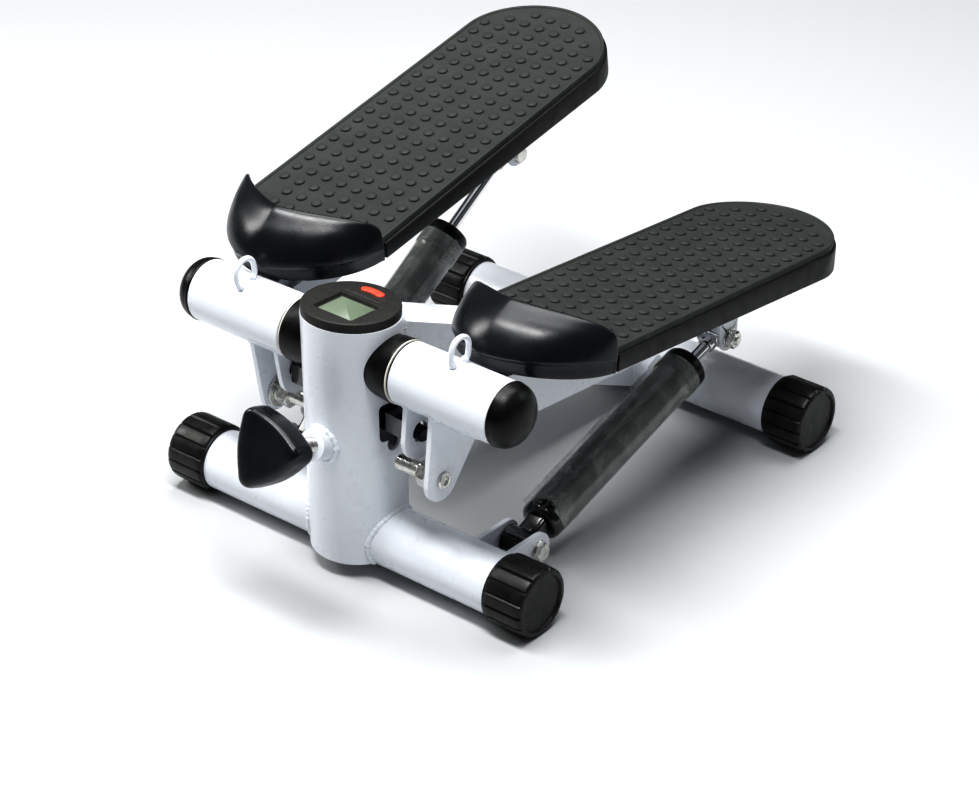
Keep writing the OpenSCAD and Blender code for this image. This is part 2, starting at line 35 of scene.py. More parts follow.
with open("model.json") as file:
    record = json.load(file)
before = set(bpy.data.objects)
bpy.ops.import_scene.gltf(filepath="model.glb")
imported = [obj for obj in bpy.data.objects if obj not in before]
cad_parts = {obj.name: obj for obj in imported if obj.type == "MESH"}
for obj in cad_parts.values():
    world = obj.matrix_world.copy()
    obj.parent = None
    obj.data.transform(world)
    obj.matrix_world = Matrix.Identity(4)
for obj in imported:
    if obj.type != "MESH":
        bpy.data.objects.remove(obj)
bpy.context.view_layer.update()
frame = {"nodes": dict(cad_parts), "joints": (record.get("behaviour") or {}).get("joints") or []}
MM = 0.001
RIGHT, LEFT = 1, -1
SIDE_NAME = {RIGHT: "right", LEFT: "left"}
JOINTS = {j["name"]: j for j in frame["joints"]}


def centre(node):
    low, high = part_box(node)
    return (Vector(low) + Vector(high)) / 2


# Main places, all from the frame, in metres
POST = Vector((centre("post").x, centre("post").y, 0))
PIVOT = Vector(JOINTS["right_pedal_hinge"]["pos_m"])
FRONT_TUBE = centre("front_cross_tube")
REAR_TUBE = centre("rear_cross_tube")
POST_R = (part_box("post")[1][0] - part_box("post")[0][0]) / 2 / MM
TUBE_R = (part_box("front_cross_tube")[1][2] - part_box("front_cross_tube")[0][2]) / 2 / MM

# Shape of a pedal in millimetres: u across, v from the axle to the heel, w up
UP_BOLT_V, UP_BOLT_W = 312.7, -46.5
TREAD_ROLL = math.radians(1.95)
TREAD_YAW = math.radians(0.63)
PEDAL_U = 108
HALF_REAR = 65.4
HALF_FRONT = 66.7
HEEL_V = 417.4
HEEL_ROUND = 60
HEEL_EXP = 1.88
TREAD_FRONT = 92
TREAD_W = 26.1
BASE_TOP = 22
GUARD_MID = 91
GUARD_A, GUARD_B, GUARD_EXP = 68, 77, 1.85
CREST_A, CREST_B, CREST_V = 66.8, 40.5, 89
GUARD_H, HORN_H, CREST_EXP = 33, 2.5, 0.58
GUARD_SECTION_EXP, GUARD_WALL = 1.32, 2.6
GUARD_EDGE_LOW, GUARD_EDGE_RISE = 19, 7.9
SKIRT_LOW, SKIRT_RISE = 8.4, 7
PIVOT_R = 24.5
PIVOT_IN, PIVOT_OUT = 54, 145
TREAD_BORDER = 2
UNDER_FRONT, UNDER_KNEE, UNDER_REAR = 17.5, 8.4, 0.9
KNEE_V, KNEE_TO_REAR = 83, 347
STUD_R, STUD_H = 4.2, 2.0
BRACKET_IN, BRACKET_OUT, BOLT_DROP = 88, 92, 73
STUD_PITCH_U, STUD_PITCH_V, FIRST_STUD_V = 15.1, 14.8, 113.4
EYE_U, EYE_V, EYE_W = 100, -1, 35

# Cylinders, in millimetres from the lower pin
FILM_START, FILM_END = 31, 208
FILM_R, FILM_FLARE_AT, FILM_FLARE_R = 17.45, 193, 18.5
GLAND_AT = 196
ROD_R, ROD_EYE_R, ROD_EYE_HALF = 4.5, 10, 7.3
FIN, FIN_AT, FIN_WIDTH = 5.0, math.radians(205), 0.06

# Frame, in millimetres
BEAM_HALF, BEAM_TOP, BEAM_BOTTOM, BEAM_SLOPE = 27, 213.45, 164, 0.5
EAR_FACES = (94.5, 98.5, 124.5, 128.5)
LOWER_BOLT_HALF = 17
CAP_RADIUS, CAP_FOOT, CAP_GROOVES = 27.5, 6.0, 16
FRONT_CAP_X, REAR_CAP_X = 140, 154.5
WINDOW = (-15.5, -21.5, 18.5, 7.5)
POCKET = (-17.5, -23.5, 20.5, 9.5)
RESET_R, RESET_HALF_W, RESET_HALF_ANGLE = 25, 3.3, math.radians(17)
KNOB_BACK = 48.8


# ---------------------------------------------------------------- placing

def shift(x, y, z):
    return Matrix.Translation(Vector((x, y, z)))


def turn(angle, axis):
    return Matrix.Rotation(angle, 4, axis)


def grown():
    """From millimetres to metres."""
    return Matrix.Diagonal((MM, MM, MM, 1))


def mirrored(side):
    return Matrix.Diagonal((side, 1, 1, 1))


def pitch(side):
    """How far the pedal is turned at rest, from where its upper bolt lies."""
    bolt = centre(SIDE_NAME[side] + "_upper_ears")
    low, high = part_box(SIDE_NAME[side] + "_upper_bolt")
    bolt.y, bolt.z = (low[1] + high[1]) / 2, (low[2] + high[2]) / 2
    here = math.atan2(bolt.z - PIVOT.z, bolt.y - PIVOT.y)
    return here - math.atan2(UP_BOLT_W, UP_BOLT_V)


def at_pedal(side):
    return Matrix.Translation(PIVOT) @ grown() @ turn(pitch(side), "X") @ mirrored(side)


def at_tread(side):
    return at_pedal(side) @ turn(-TREAD_ROLL, "Y") @ turn(-TREAD_YAW, "Z")


def at_cylinder(side):
    """z along the cylinder, from its lower pin."""
    joint = JOINTS[SIDE_NAME[side] + "_barrel_hinge"]
    way = Vector(JOINTS[SIDE_NAME[side] + "_rod_slide"]["axis"])
    lean = math.atan2(way.z, way.y) - math.pi / 2
    return Matrix.Translation(Vector(joint["pos_m"])) @ grown() @ turn(lean, "X") @ mirrored(side)


def at_display():
    """x and y on the face of the display, z out of it."""
    way = -Vector(JOINTS["reset_button_press"]["axis"])
    top = Vector((POST.x, POST.y, 0.218))
    return Matrix.Translation(top) @ grown() @ turn(-math.atan2(way.y, way.z), "X")


def at_knob():
    joint = JOINTS["knob_turn"]
    way = Vector(joint["axis"])
    tilt = math.atan2(-way.y, way.z)
    return Matrix.Translation(Vector(joint["pos_m"])) @ grown() @ turn(tilt, "X")


def facing_x(x, y, z):
    """z of the piece points along x of its surroundings."""
    return shift(x, y, z) @ turn(math.pi / 2, "Y")


# ---------------------------------------------------------------- mesh building

def ring_faces(count, around, closed=True):
    """Quads between count rings of around points each."""
    faces = []
    for j in range(count - 1):
        for i in range(around if closed else around - 1):
            k = (i + 1) % around
            faces.append((j * around + i, j * around + k, (j + 1) * around + k,
                          (j + 1) * around + i))
    return faces


def loft(rings, closed=True, ends=True):
    verts = [p for ring in rings for p in ring]
    around = len(rings[0])
    faces = ring_faces(len(rings), around, closed)
    if ends and closed:
        faces.append(tuple(reversed(range(around))))
        faces.append(tuple(range((len(rings) - 1) * around, len(rings) * around)))
    return verts, faces


def revolve(profile, around=72, ends=True):
    """profile is a list of (radius, height); the axis is z."""
    rings = [[(r * math.cos(t), r * math.sin(t), z)
              for t in (math.tau * i / around for i in range(around))] for r, z in profile]
    return loft(rings, ends=ends)


def sweep(path, radius, around=12, closed=False):
    """A round bar along a list of points; radius may be a function of the step."""
    size = radius if callable(radius) else (lambda i: radius)
    points = [Vector(p) for p in path]
    last = len(points) - 1
    rings = []
    side = None
    for i, p in enumerate(points):
        a = points[i - 1] if (i or closed) else p
        b = points[(i + 1) % len(points)] if (i < last or closed) else p
        way = (b - a).normalized()
        if side is None:
            side = way.orthogonal().normalized()
        side = (side - way * side.dot(way)).normalized()
        up = way.cross(side)
        rings.append([tuple(p + (side * math.cos(t) + up * math.sin(t)) * size(i))
                      for t in (math.tau * k / around for k in range(around))])
    verts, faces = loft(rings, ends=not closed)
    if closed:
        start = last * around
        best = min(range(around), key=lambda k: (Vector(rings[-1][0]) - Vector(rings[0][k])).length)
        for k in range(around):
            faces.append((start + k, start + (k + 1) % around, (k + 1 + best) % around,
                          (k + best) % around))
    return verts, faces


def joined(*parts):
    verts, faces = [], []
    for v, f in parts:
        base = len(verts)
        verts += list(v)
        faces += [tuple(i + base for i in face) for face in f]
    return verts, faces


def moved(part, matrix):
    return [tuple(matrix @ Vector(p)) for p in part[0]], part[1]


def make(name, part, matrix, material, body, stands_for=(), sharp=40, levels=0):
    """A piece from a part in millimetres, placed by matrix, riding on body."""
    verts, faces = moved(part, matrix)
    mesh = bpy.data.meshes.new(name)
    mesh.from_pydata(verts, [], faces)
    build = bmesh.new()
    build.from_mesh(mesh)
    bmesh.ops.remove_doubles(build, verts=build.verts, dist=2e-6)
    bmesh.ops.dissolve_degenerate(build, edges=build.edges, dist=1e-7)
    bmesh.ops.recalc_face_normals(build, faces=build.faces)
    build.to_mesh(mesh)
    build.free()
    mesh.polygons.foreach_set("use_smooth", [True] * len(mesh.polygons))
    mesh.set_sharp_from_angle(angle=math.radians(sharp))
    piece = bpy.data.objects.new(name, mesh)
    bpy.context.scene.collection.objects.link(piece)
    mesh.materials.append(material)
    if levels:
        smooth = piece.modifiers.new("smooth", "SUBSURF")
        smooth.levels = levels
        smooth.render_levels = levels
    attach(piece, body)
    if stands_for:
        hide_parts(*stands_for)
    return piece


# ---------------------------------------------------------------- materials

class Finish:
    """A Principled material with helpers for its procedural detail."""

    def __init__(self, name, colour, roughness, **sockets):
        self.material = bpy.data.materials.new(name)
        self.material.use_nodes = True
        self.tree = self.material.node_tree
        self.shader = self.tree.nodes["Principled BSDF"]
        self.shader.inputs["Base Color"].default_value = (*colour, 1)
        self.shader.inputs["Roughness"].default_value = roughness
        for key, value in sockets.items():
            self.shader.inputs[key.replace("_", " ")].default_value = value
        self.place = self.tree.nodes.new("ShaderNodeTexCoord").outputs["Object"]
        self.bumps = None

    def node(self, kind, **values):
        made = self.tree.nodes.new(kind)
        for key, value in values.items():
            made.inputs[key.replace("_", " ")].default_value = value
        return made

    def link(self, a, b):
        self.tree.links.new(a, b)

    def stretched(self, scale):
        mapping = self.node("ShaderNodeMapping", Scale=scale)
        self.link(self.place, mapping.inputs["Vector"])
        return mapping.outputs["Vector"]

    def noise(self, scale, detail=3.0, where=None):
        made = self.node("ShaderNodeTexNoise", Scale=scale, Detail=detail)
        self.link(where or self.place, made.inputs["Vector"])
        return made.outputs["Fac"]

    def cells(self, scale):
        made = self.node("ShaderNodeTexVoronoi", Scale=scale)
        self.link(self.place, made.inputs["Vector"])
        return made.outputs["Distance"]

    def ramp(self, value, low, high, out_low=0.0, out_high=1.0):
        made = self.node("ShaderNodeMapRange", From_Min=low, From_Max=high, To_Min=out_low,
                         To_Max=out_high)
        self.link(value, made.inputs["Value"])
        return made.outputs["Result"]

    def tint(self, factor, colour):
        """Mixes colour over what the base colour has so far."""
        base = self.shader.inputs["Base Color"]
        mix = self.tree.nodes.new("ShaderNodeMix")
        mix.data_type = "RGBA"
        if base.is_linked:
            self.link(base.links[0].from_socket, mix.inputs[6])
        else:
            mix.inputs[6].default_value = base.default_value
        mix.inputs[7].default_value = (*colour, 1)
        self.link(factor, mix.inputs[0])
        self.link(mix.outputs[2], base)

    def rough(self, value, low, high):
        self.link(self.ramp(value, 0.3, 0.7, low, high), self.shader.inputs["Roughness"])

    def bump(self, height, distance, strength=1.0):
        made = self.node("ShaderNodeBump", Strength=strength, Distance=distance)
        self.link(height, made.inputs["Height"])
        if self.bumps is not None:
            self.link(self.bumps, made.inputs["Normal"])
        self.bumps = made.outputs["Normal"]
        self.link(self.bumps, self.shader.inputs["Normal"])


def white_paint():
    f = Finish("white_powder_coat", (0.80, 0.83, 0.88), 0.3, Coat_Weight=0.35, Coat_Roughness=0.12)
    f.tint(f.ramp(f.noise(14), 0.35, 0.75, 0.0, 0.14), (0.70, 0.74, 0.82))
    f.tint(f.ramp(f.cells(140), 0.035, 0.02), (0.25, 0.24, 0.22))
    f.rough(f.noise(60), 0.24, 0.38)
    f.bump(f.noise(900, 2), 0.00012, 0.5)
    f.bump(f.noise(70, 2), 0.0004, 0.25)
    return f.material


def tread_rubber():
    f = Finish("tread_rubber", (0.026, 0.029, 0.027), 0.6, Specular_IOR_Level=0.3)
    f.tint(f.ramp(f.noise(45, 5), 0.35, 0.7, 0, 0.7), (0.036, 0.039, 0.036))
    f.tint(f.ramp(f.cells(700), 0.10, 0.04, 0, 0.5), (0.07, 0.07, 0.065))
    f.rough(f.noise(120), 0.48, 0.7)
    f.bump(f.noise(2600, 3), 0.00025, 0.6)
    f.bump(f.noise(500, 3), 0.0003, 0.35)
    return f.material


def guard_plastic():
    f = Finish("gloss_black_plastic", (0.006, 0.007, 0.009), 0.3, Specular_IOR_Level=0.45)
    f.tint(f.ramp(f.noise(22, 4), 0.4, 0.8, 0, 0.6), (0.011, 0.012, 0.015))
    f.rough(f.noise(40, 4), 0.22, 0.34)
    f.bump(f.noise(1500, 2), 0.00006, 0.4)
    f.bump(f.noise(55, 3), 0.0006, 0.25)
    return f.material


def base_plastic():
    f = Finish("pedal_base_plastic", (0.004, 0.004, 0.0045), 0.42, Specular_IOR_Level=0.35)
    f.tint(f.ramp(f.noise(60, 5), 0.4, 0.75, 0, 0.7), (0.010, 0.010, 0.009))
    f.rough(f.noise(90, 4), 0.36, 0.55)
    f.bump(f.noise(1300, 3), 0.00015, 0.5)
    return f.material


def cap_plastic():
    f = Finish("cap_plastic", (0.007, 0.007, 0.007), 0.36, Specular_IOR_Level=0.35)
    f.tint(f.ramp(f.noise(85, 5), 0.4, 0.75, 0, 0.8), (0.016, 0.016, 0.015))
    f.tint(f.ramp(f.cells(420), 0.07, 0.03, 0, 0.5), (0.09, 0.09, 0.085))
    f.rough(f.noise(130, 4), 0.28, 0.46)
    f.bump(f.noise(1500, 3), 0.0002, 0.6)
    return f.material


def dome_plastic():
    f = Finish("dome_plastic", (0.003, 0.003, 0.003), 0.3, Specular_IOR_Level=0.3)
    f.tint(f.ramp(f.noise(70, 5), 0.45, 0.75, 0, 0.7), (0.008, 0.009, 0.008))
    f.rough(f.noise(110, 4), 0.26, 0.42)
    f.bump(f.noise(1100, 3), 0.00025, 0.6)
    return f.material


def zinc():
    f = Finish("zinc_steel", (0.72, 0.72, 0.69), 0.3, Metallic=1.0)
    f.tint(f.ramp(f.noise(240, 5), 0.4, 0.7, 0, 0.6), (0.52, 0.51, 0.47))
    f.tint(f.ramp(f.noise(90, 4), 0.62, 0.75, 0, 0.4), (0.28, 0.26, 0.21))
    f.rough(f.noise(300, 4), 0.18, 0.42)
    f.bump(f.noise(900, 3), 0.00012, 0.5)
    return f.material


def chrome():
    f = Finish("chrome_rod", (0.82, 0.82, 0.83), 0.07, Metallic=1.0)
    f.tint(f.ramp(f.noise(30, 3), 0.5, 0.8, 0, 0.4), (0.62, 0.62, 0.64))
    f.rough(f.noise(200, 3, f.stretched((4, 4, 0.4))), 0.04, 0.12)
    f.bump(f.noise(1200, 2), 0.00003, 0.3)
    return f.material


def barrel_paint():
    f = Finish("barrel_paint", (0.004, 0.0045, 0.005), 0.16, Coat_Weight=0.6, Coat_Roughness=0.08)
    f.tint(f.ramp(f.noise(50, 5), 0.45, 0.8, 0, 0.7), (0.012, 0.014, 0.014))
    f.rough(f.noise(80, 4), 0.12, 0.3)
    f.bump(f.noise(700, 2), 0.0001, 0.35)
    return f.material


def clear_film():
    # The pale base colour and its lighter patches, shown at partial alpha, are partly the film's own
    # milkiness and partly painted sheen: they paint the broad grey-white reflections of the film.
    f = Finish("clear_film", (0.66, 0.70, 0.66), 0.2, Specular_IOR_Level=1.0, Alpha=0.3)
    f.tint(f.ramp(f.noise(90, 4), 0.45, 0.7, 0, 0.8), (0.80, 0.84, 0.78))
    # How much of the pale colour shows through: partly the film's haze, partly painted sheen.
    haze_and_sheen = f.noise(70, 4, f.stretched((1, 1, 0.5)))
    f.link(f.ramp(haze_and_sheen, 0.4, 0.7, 0.22, 0.42), f.shader.inputs["Alpha"])
    f.rough(f.noise(150, 4), 0.16, 0.3)
    f.bump(f.noise(150, 4), 0.0003, 0.35)
    f.bump(f.noise(60, 3, f.stretched((1, 0.35, 0.6))), 0.001, 0.3)
    return f.material


def housing_plastic():
    f = Finish("housing_plastic", (0.009, 0.009, 0.008), 0.5, Specular_IOR_Level=0.4)
    f.tint(f.ramp(f.noise(700, 3), 0.42, 0.62, 0, 1), (0.022, 0.022, 0.020))
    f.rough(f.noise(300, 4), 0.42, 0.62)
    f.bump(f.noise(1700, 3), 0.0003, 0.8)
    return f.material


def lcd():
    f = Finish("display_glass", (0.12, 0.155, 0.11), 0.3, Coat_Weight=0.2, Coat_Roughness=0.25)
    f.tint(f.ramp(f.noise(35, 2), 0.35, 0.7), (0.15, 0.185, 0.135))
    f.tint(f.ramp(f.noise(2200, 2), 0.5, 0.7, 0, 0.25), (0.15, 0.19, 0.13))
    f.rough(f.noise(60, 2), 0.28, 0.36)
    return f.material


def red_plastic():
    f = Finish("red_plastic", (0.78, 0.075, 0.035), 0.35, Subsurface_Weight=0.1)
    f.shader.inputs["Subsurface Scale"].default_value = 0.002
    f.tint(f.ramp(f.noise(300, 4), 0.4, 0.7, 0, 0.5), (0.62, 0.05, 0.025))
    f.rough(f.noise(200, 3), 0.3, 0.45)
    f.bump(f.noise(1800, 3), 0.0001, 0.4)
    return f.material


def ring_plastic():
    f = Finish("white_plastic", (0.82, 0.80, 0.72), 0.4)
    f.tint(f.ramp(f.noise(120, 4), 0.4, 0.7, 0, 0.5), (0.66, 0.64, 0.56))
    f.rough(f.noise(200, 3), 0.32, 0.5)
    f.bump(f.noise(1400, 3), 0.0001, 0.4)
    return f.material


def floor_paint():
    f = Finish("floor", (0.52, 0.53, 0.54), 0.7)
    f.tint(f.ramp(f.noise(1.2, 2), 0.3, 0.8, 0, 0.4), (0.50, 0.51, 0.52))
    return f.material


PAINT = white_paint()
TREAD = tread_rubber()
GUARD = guard_plastic()
BASE = base_plastic()
CAP = cap_plastic()
DOME = dome_plastic()
ZINC = zinc()
CHROME = chrome()
BARREL = barrel_paint()
FILM = clear_film()
HOUSING = housing_plastic()
LCD = lcd()
RED = red_plastic()
RING = ring_plastic()


# ---------------------------------------------------------------- CAD nodes that stay

def finish_node(name, material, edge=0.5):
    """The CAD node keeps its shape; its edges are rounded by edge millimetres."""
    node = frame["nodes"][name]
    node.data.materials.clear()
    node.data.materials.append(material)
    if "custom_normal" in node.data.attributes:
        node.data.attributes.remove(node.data.attributes["custom_normal"])
    node.data.polygons.foreach_set("use_smooth", [True] * len(node.data.polygons))
    weld = node.modifiers.new("weld", "WELD")
    weld.merge_threshold = 2e-6
    bevel = node.modifiers.new("edges", "BEVEL")
    bevel.width = edge * MM
    bevel.segments = 2
    bevel.limit_method = "ANGLE"
    bevel.angle_limit = math.radians(35)
    bevel.use_clamp_overlap = True
    bevel.harden_normals = False
    node.modifiers.new("normals", "WEIGHTED_NORMAL").keep_sharp = True


for node_name in ("post", "front_cross_tube", "rear_cross_tube", "centre_beam", "cylinder_ears",
                  "knob_boss", "rocker_seat"):
    finish_node(node_name, PAINT, 0.7)
for node_name in ("pivot_axle", "rocker_pin", "axle_nuts"):
    finish_node(node_name, ZINC)
finish_node("rocker_bar", BARREL, 0.8)
finish_node("rocker_bushes", BASE)
finish_node("seal_rings", RING, 0.2)
for s in SIDE_NAME.values():
    for part_name in ("pivot_tube", "arm", "bracket", "upper_ears"):
        finish_node(s + "_" + part_name, PAINT, 0.8)
    finish_node(s + "_axle_bushes", BASE)


# ---------------------------------------------------------------- pedals

def spread(low, high, count):
    return [low + (high - low) * i / count for i in range(count + 1)]


def heel(t, count=64):
    """Round heel end of the pedal, inset by t, from its right side to its left side."""
    points = []
    for a in spread(0, math.pi, count):
        c, s = math.cos(a), math.sin(a)
        points.append((PEDAL_U + math.copysign((HALF_REAR - t) * abs(c) ** (2 / HEEL_EXP), c),
                       HEEL_V - HEEL_ROUND + (HEEL_ROUND - t) * max(s, 0) ** (2 / HEEL_EXP)))
    return points


def side_line(t, right, count=12):
    """The long side of the pedal, from the front to the heel."""
    sign = 1 if right else -1
    line = []
    for k in spread(0, 1, count)[:-1]:
        half = HALF_FRONT + (HALF_REAR - HALF_FRONT) * k - t
        line.append((PEDAL_U + sign * half,
                     TREAD_FRONT + (HEEL_V - HEEL_ROUND - TREAD_FRONT) * k))
    return line


def crest(a, t=0.0):
    c, s = math.cos(a), math.sin(a)
    return (PEDAL_U + math.copysign((CREST_A - t) * abs(c) ** 1.5, c),
            CREST_V - (CREST_B - t) * max(s, 0) ** 1.5)


def guard_edge(a, t=0.0):
    """Outer edge of the toe guard in the direction a, inset by t."""
    c, s = math.cos(a), math.sin(a)
    total = (abs(c) / GUARD_A) ** GUARD_EXP + (abs(s) / GUARD_B) ** GUARD_EXP
    reach = total ** (-1 / GUARD_EXP) - t
    return PEDAL_U + reach * c, GUARD_MID - reach * s


def underside(v):
    """Height of the pedal's lower edge."""
    if v < KNEE_V:
        return UNDER_FRONT + (UNDER_KNEE - UNDER_FRONT) * v / KNEE_V
    return UNDER_KNEE + (UNDER_REAR - UNDER_KNEE) * (v - KNEE_V) / KNEE_TO_REAR


def toe_guard(side):
    """A moulded hood round the toes: thin crest, slightly hollow top, full front, skirt."""
    rings = []
    for j in range(73):
        a = math.radians(2 + 176 * j / 72)
        c = crest(a)
        f = math.atan2(GUARD_MID - c[1], c[0] - PEDAL_U)
        o = guard_edge(f + (a - f) * 0.5)
        full = math.sin(a)
        top = TREAD_W + HORN_H + (GUARD_H - HORN_H) * full ** CREST_EXP
        edge = GUARD_EDGE_LOW + GUARD_EDGE_RISE * full
        low = SKIRT_LOW + SKIRT_RISE * full ** 3
        out = Vector((o[0] - c[0], o[1] - c[1]))
        reach = out.length
        ring = []

        def put(away, height):
            """away runs from the crest (0) to the outer edge (1)."""
            ring.append((c[0] + out.x * away, c[1] + out.y * away, height))

        inner = -min(3.0, reach * 0.5) / max(reach, 0.5)
        put(inner, BASE_TOP)
        put(inner, BASE_TOP + (top - BASE_TOP) * 0.6)
        put(inner * 0.85, top - 2.0 * full)
        put(inner * 0.4, top - 0.5 * full)
        for k in spread(0, 1, 14):
            t = k * math.pi / 2
            away = math.sin(t) ** GUARD_SECTION_EXP
            height = edge + (top - edge) * math.cos(t) ** GUARD_SECTION_EXP
            hollow = 1.2 * full * math.exp(-((away - 0.33) / 0.2) ** 2)
            put(away, height - hollow)
        slim = GUARD_WALL / max(reach, 4)
        put(1 - slim * 0.3, edge - 1.4 * full - 0.2)
        put(1 - slim * 1.0, edge - 2.0 * full - 0.4)
        put(1 - slim * 1.05, (edge + low) / 2)
        put(1 - slim * 1.0, low + 0.6)
        put(1 - slim * 1.3, low)
        put(1 - slim * 2.1, low)
        put(1 - slim * 2.2, BASE_TOP - 2)
        rings.append(ring)
    name = SIDE_NAME[side]
    make(name + "_toe_guard_shell", loft(rings), at_tread(side), GUARD, name + "_pedal",
         [name + "_toe_guard"], 60, 1)


def stud(x, y, floor):
    """One low round stud with a steep side and a crowned top, in a shallow dish."""
    r, h = STUD_R, STUD_H
    profile = [(r + 1.1, -0.5), (r + 0.5, -0.1), (r + 0.05, 0.1), (r - 0.1, h * 0.5),
               (r - 0.45, h * 0.82), (r - 1.2, h * 0.97), (r - 2.6, h * 1.05), (0, h * 1.08)]
    return moved(revolve(profile, 24, ends=False), shift(x, y, floor))


def tread_outline(t):
    """Closed outline of the mat: heel round from right to left, then back round the toes."""
    front = [crest(math.pi - a, 3.2 + t) for a in spread(0, math.pi, 48)]
    inset = TREAD_BORDER + t
    left = list(reversed(side_line(inset, False)))
    return side_line(inset, True) + heel(inset) + left + front


def tread(side):
    name = SIDE_NAME[side]
    edge = [(0.0, BASE_TOP), (0.0, TREAD_W + 0.3), (0.4, TREAD_W + 0.9), (1.0, TREAD_W + 1.1),
            (2.0, TREAD_W + 1.1), (2.6, TREAD_W + 0.8), (3.0, TREAD_W), (3.8, TREAD_W - 0.15)]
    rings = [[(x, y, z) for x, y in tread_outline(t)] for t, z in edge]
    parts = [loft(rings)]
    for j in range(-3, 20):
        half_row = 1.5 if j in (-3, 19) else 2.5 if j in (-2, -1, 18) else 3.5
        for i in range(int(2 * half_row) + 1):
            parts.append(stud(PEDAL_U + STUD_PITCH_U * (i - half_row),
                              FIRST_STUD_V + STUD_PITCH_V * j, TREAD_W - 0.1))
    make(name + "_tread_mat", joined(*parts), at_tread(side), TREAD, name + "_pedal",
         [name + "_tread"], 50)


def pedal_base(side):
    """A moulded tray with a rounded upper edge, a plain skirt and ribs below."""
    name = SIDE_NAME[side]

    def outline(t):
        """The tray is full width behind the guard and tucked in inside it."""
        front = [guard_edge(math.pi - a, 5.8 + t) for a in spread(0, math.pi, 48)]
        left = list(reversed(side_line(t, False)))
        return side_line(t, True) + heel(t) + left + front

    rings = []
    for inset, drop in ((3.0, 14.0), (3.0, 0.6), (2.2, 0.0), (0.7, 0.0), (0.1, 0.5), (0.0, 1.5)):
        rings.append([(x, y, underside(y) + drop if drop < 14 else BASE_TOP - 3)
                      for x, y in outline(inset)])
    for inset, height in ((0.0, BASE_TOP - 1.8), (0.5, BASE_TOP - 0.6), (1.6, BASE_TOP)):
        rings.append([(x, y, height) for x, y in outline(inset)])
    ribs = []
    for u in (-8, 5):
        box = [(PEDAL_U + u, 60), (PEDAL_U + u + 3, 60), (PEDAL_U + u + 3, 310),
               (PEDAL_U + u, 310)]
        ribs.append(loft([[(x, y, z) for x, y in box] for z in (7, BASE_TOP - 3)]))
    for v in (110, 160, 210, 260, 310, 350):
        for sign in (-1, 1):
            a, b = sorted((PEDAL_U + sign * 14, PEDAL_U + sign * 61))
            box = [(a, v), (b, v), (b, v + 2), (a, v + 2)]
            ribs.append(loft([[(x, y, z) for x, y in box] for z in (10, BASE_TOP - 3)]))
    make(name + "_pedal_tray", joined(loft(rings), *ribs), at_tread(side), BASE, name + "_pedal",
         [name + "_pedal_base"], 50)


def dome(r, h, count=14, full=2.0):
    """Quarter of a rounded dome from its rim to its crown."""
    return [(r * math.cos(t) ** (2 / full), h * math.sin(t) ** (2 / full))
            for t in spread(0, math.pi / 2, count)]


def tube_cap(side):
    """Domed plug in the outer end of the pivot tube, with a small flange."""
    name = SIDE_NAME[side]
    shell = [(PIVOT_R - 3.4, 0), (PIVOT_R + 0.2, 0), (PIVOT_R + 0.5, 0.3), (PIVOT_R + 0.5, 1.6),
             (PIVOT_R + 0.1, 2.2)]
    crown = [(r, 2.2 + z) for r, z in dome(PIVOT_R + 0.1, 16.2, 16, 2.15)][1:]
    part = revolve(shell + crown, 80)
    make(name + "_outer_cap", part, at_pedal(side) @ facing_x(PIVOT_OUT, 0, 0), DOME,
         name + "_pedal", [name + "_tube_cap"], 50)


def band_eye(side):
    """A bent wire ring with two weld blobs at its foot."""
    name = SIDE_NAME[side]
    wire, bend, leg = 2.25, 9.75, 4
    path = [(0, bend * math.cos(t), bend * math.sin(t)) for t in spread(0, math.pi, 30)]
    path += [(0, -bend, -leg * k / 3) for k in (1, 2)]
    path += [(0, bend * math.cos(t), bend * math.sin(t) - leg)
             for t in spread(math.pi, math.tau, 30)]
    path += [(0, bend, -leg * k / 3) for k in (2, 1)]
    ring = sweep(path, wire, 20, True)
    blobs = []
    for v in (-7.6, 6.4):
        spots = [(k * 1.1, v, -9.6 - abs(k) * 0.15) for k in (-3, -2, -1, 0, 1, 2, 3)]
        widths = (0.8, 2.2, 3.1, 3.4, 3.0, 2.3, 0.9)
        blobs.append(sweep(spots, lambda i: widths[i], 14))
    make(name + "_band_ring", joined(ring, *blobs), at_pedal(side) @ shift(EYE_U, EYE_V, EYE_W),
         PAINT, name + "_pedal", [name + "_band_eye"], 60, 1)


# ---------------------------------------------------------------- fasteners

def hexagon(af, height, chamfer=0.9, both=False):
    """A hexagonal head or nut along z, with its corners turned off on top."""
    def ring(z, limit):
        points = []
        for i in range(72):
            t = math.tau * i / 72
            flat = af / 2 / math.cos((t + math.pi / 6) % (math.pi / 3) - math.pi / 6)
            points.append((min(flat, limit) * math.cos(t), min(flat, limit) * math.sin(t), z))
        return points
    low = [(0, af * 0.48), (chamfer * 0.6, af * 0.54), (chamfer, af)] if both else [(0, af)]
    rings = [ring(z, limit) for z, limit in low]
    rings += [ring(height - chamfer, af), ring(height - chamfer * 0.6, af * 0.54),
              ring(height, af * 0.48)]
    return loft(rings)


def washer(r, thick, bore):
    return revolve([(bore, 0), (r - 0.3, 0), (r, 0.3), (r, thick - 0.3), (r - 0.3, thick),
                    (bore, thick)], 64)


def threaded(r, length, pitch_mm=1.5, depth=0.45, around=28):
    """A screw thread along z with a chamfered far end."""
    steps = int(length / pitch_mm * 6)
    rings = []
    for j in range(steps + 1):
        z = length * j / steps
        ring = []
        for i in range(around):
            t = math.tau * i / around
            wave = abs(((z / pitch_mm - i / around) % 1) * 2 - 1)
            taper = min(1.0, 0.75 + 0.25 * (length - z) / 1.5)
            ring.append(((r - depth * wave) * taper * math.cos(t),
                         (r - depth * wave) * taper * math.sin(t), z))
        rings.append(ring)
    return loft(rings)


def bolt(name, matrix, body, node, slot, parts):
    make(name, joined(*parts), matrix, ZINC, body, [node] if node else (), 35)


